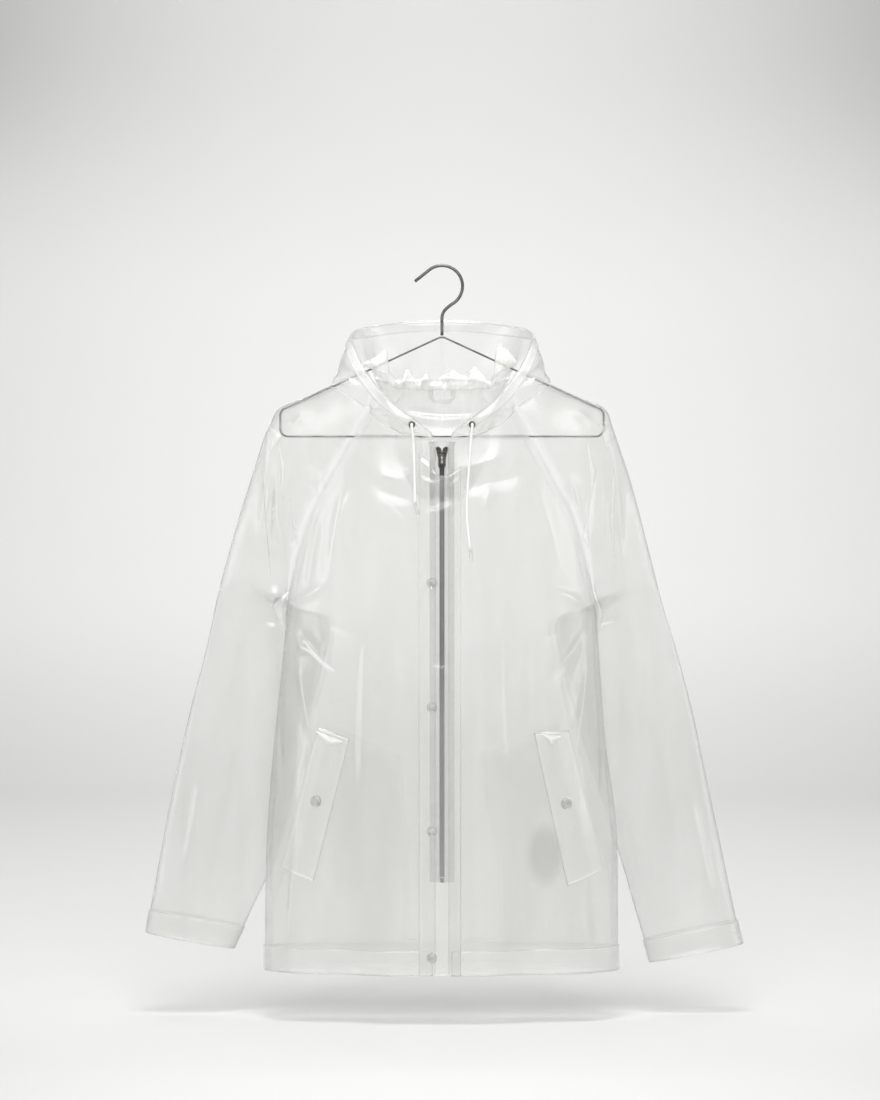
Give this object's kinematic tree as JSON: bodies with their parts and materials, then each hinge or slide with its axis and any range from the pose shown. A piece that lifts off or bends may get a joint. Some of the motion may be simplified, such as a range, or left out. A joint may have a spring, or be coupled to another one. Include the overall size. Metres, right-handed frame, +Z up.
{
  "type": "raincoat on a hanger",
  "caption": "Hooded raincoat of frosted see-through film with raglan sleeves, a storm flap over its zip and slanted welt pockets, hung on a thin wire hanger.",
  "frame": {"origin": "the inside of the top of the hanger's hook, where it rests on a rail", "axes": "+Z up, -Y out of the coat's front, +X to the wearer's left"},
  "size_m": [0.7663, 0.1489, 0.8961],
  "materials": {
    "film": "frosted see-through film about 0.3 mm thick, with a soft gloss",
    "clear_plastic": "clear moulded plastic",
    "tape": "woven zip tape",
    "dark_metal": "dark plated zip metal",
    "steel": "bare drawn wire",
    "cord": "white braided cord"
  },
  "bodies": {
    "coat": {"back": "film", "front_right": "film", "front_left": "film", "sleeve_right": "film", "sleeve_left": "film", "hood_right": "film", "hood_left": "film", "hood_casing_right": "film", "hood_casing_left": "film", "hem_turn_back": "film", "hem_turn_front_right": "film", "hem_turn_front_left": "film", "cuff_turn_right": "film", "cuff_turn_left": "film", "storm_flap": "film", "pocket_welt_right": "film", "pocket_welt_left": "film", "pocket_bag_right": "film", "pocket_bag_left": "film", "hanging_loop": "film", "flap_snap_1": "clear_plastic", "flap_snap_2": "clear_plastic", "flap_snap_3": "clear_plastic", "flap_snap_4": "clear_plastic", "pocket_snap_right": "clear_plastic", "pocket_snap_left": "clear_plastic", "drawstring_tip_right": "clear_plastic", "drawstring_tip_left": "clear_plastic", "zip_tape_right": "tape", "zip_tape_left": "tape", "zip_chain": "dark_metal", "zip_slider": "dark_metal", "zip_end_stop": "dark_metal", "eyelet_right": "dark_metal", "eyelet_left": "dark_metal", "hanger_hook": "steel", "hanger_frame": "steel", "drawstring_right": "cord", "drawstring_left": "cord"},
    "zip_pull": {"zip_pull": "dark_metal"}
  },
  "joints": [
    {"name": "zip_pull_hinge", "type": "hinge", "parent": "coat", "child": "zip_pull", "pos_m": [0, -0.04398, -0.235], "axis": [-1, 0, 0], "range_deg": [0, 150]}
  ]
}
